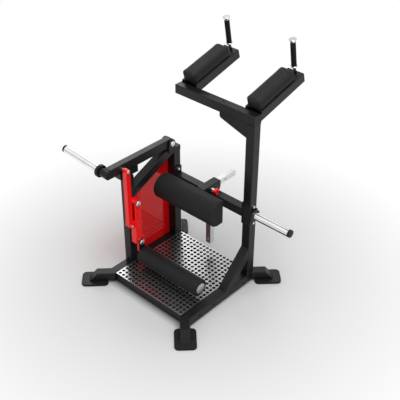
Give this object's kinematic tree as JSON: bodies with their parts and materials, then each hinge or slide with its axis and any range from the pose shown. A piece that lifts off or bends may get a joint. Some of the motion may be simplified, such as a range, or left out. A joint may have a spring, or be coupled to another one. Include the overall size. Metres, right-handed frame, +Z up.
{
  "type": "standing hamstring machine",
  "caption": "Plate-loaded standing hamstring curl machine with a swinging ankle roller, an adjustable thigh pad, forearm rests and upright handles.",
  "frame": {"origin": "on the floor, under the middle of the overall box", "axes": "+Z up, +Y the way the user faces, +X to the user's right"},
  "size_m": [1.3346, 1.1883, 1.5532],
  "materials": {
    "frame_black": "semi-gloss powder coat",
    "foot_steel": "satin",
    "black_rubber": "matt",
    "tread_steel": "polished",
    "panel_red": "gloss",
    "arm_red": "gloss",
    "knob_red": "gloss",
    "bright_bolts": "bright",
    "chrome_steel": "bright",
    "silver_alloy": "satin",
    "black_nylon": "matt",
    "black_vinyl": "matt",
    "roller_cover": "matt"
  },
  "bodies": {
    "frame": {"handle_rods": "frame_black", "side_tubes": "frame_black", "cross_tubes": "frame_black", "leg_tubes": "frame_black", "front_left_post": "frame_black", "rear_left_post": "frame_black", "diagonal_brace": "frame_black", "lever_bracket": "frame_black", "mid_crossbar": "frame_black", "crossbar_flanges": "frame_black", "right_upright": "frame_black", "lower_brace": "frame_black", "top_crossbar": "frame_black", "gusset_plate": "frame_black", "forearm_arms": "frame_black", "storage_hub": "frame_black", "foot_plates": "foot_steel", "foot_pads": "black_rubber", "post_bumper": "black_rubber", "handle_grips": "black_rubber", "tread_plate": "tread_steel", "side_panel": "panel_red", "pivot_shafts": "bright_bolts", "frame_bolts": "bright_bolts", "height_spring": "bright_bolts", "storage_sleeve": "chrome_steel", "height_pin_housing": "chrome_steel", "grip_ends": "silver_alloy", "tube_end_caps": "black_nylon", "storage_cap": "black_nylon", "mast_bushing": "black_nylon", "pad_boards": "black_nylon", "left_forearm_pad": "black_vinyl", "right_forearm_pad": "black_vinyl"},
    "lever": {"lever_tube": "frame_black", "lever_block": "frame_black", "horn_boss": "frame_black", "horn_sleeve": "chrome_steel", "horn_cap": "black_nylon", "lever_bushes": "black_nylon"},
    "curl_lever": {"curl_arm": "arm_red", "knee_bushes": "black_nylon", "arm_bolts": "bright_bolts", "roller_bracket": "frame_black", "roller_axle": "chrome_steel"},
    "link": {"link_bar": "arm_red", "link_pin": "bright_bolts"},
    "ankle_roller": {"roller_foam": "roller_cover", "roller_tube": "chrome_steel", "roller_end_caps": "silver_alloy"},
    "pad_mast": {"mast_tube": "chrome_steel", "slide_sleeve": "frame_black", "slide_bushings": "black_nylon", "depth_pin_housing": "chrome_steel", "depth_spring": "bright_bolts"},
    "depth_pop_pin": {"depth_pin": "knob_red"},
    "height_pop_pin": {"height_pin": "knob_red"},
    "pad_slide": {"depth_tube": "chrome_steel", "pad_mount": "frame_black", "thigh_pad": "black_vinyl"}
  },
  "joints": [
    {"name": "curl", "type": "hinge", "parent": "frame", "child": "curl_lever", "pos_m": [-0.23065, -0.24584, 0.557], "axis": [-1, 0, 0], "range_deg": [0, 100]},
    {"name": "lever_lift", "type": "hinge", "parent": "frame", "child": "lever", "pos_m": [-0.29065, 0.11616, 0.808], "axis": [-1, 0, 0], "range_deg": [0, 30]},
    {"name": "link_swing", "type": "hinge", "parent": "curl_lever", "child": "link", "pos_m": [-0.23065, -0.30184, 0.41], "axis": [-1, 0, 0], "range_deg": [-78, 0]},
    {"name": "roller_spin", "type": "hinge", "parent": "curl_lever", "child": "ankle_roller", "pos_m": [0.05535, -0.23084, 0.158], "axis": [1, 0, 0], "continuous": true},
    {"name": "pad_height", "type": "slide", "parent": "frame", "child": "pad_mast", "axis": [0, 0, 1], "range_m": [0, 0.2425]},
    {"name": "pad_depth", "type": "slide", "parent": "pad_mast", "child": "pad_slide", "axis": [0, 1, 0], "range_m": [-0.097, 0.045]},
    {"name": "depth_pin_pull", "type": "slide", "parent": "pad_mast", "child": "depth_pop_pin", "axis": [1, 0, 0], "range_m": [0, 0.007], "stiffness_N_per_m": 800, "springref_m": -0.005},
    {"name": "height_pin_pull", "type": "slide", "parent": "frame", "child": "height_pop_pin", "axis": [0, -1, 0], "range_m": [0, 0.007], "stiffness_N_per_m": 800, "springref_m": -0.005}
  ],
  "couplings": [
    {"joint": "lever_lift", "follows": "curl", "ratio": 0.28},
    {"joint": "link_swing", "follows": "curl", "ratio": -0.765}
  ]
}
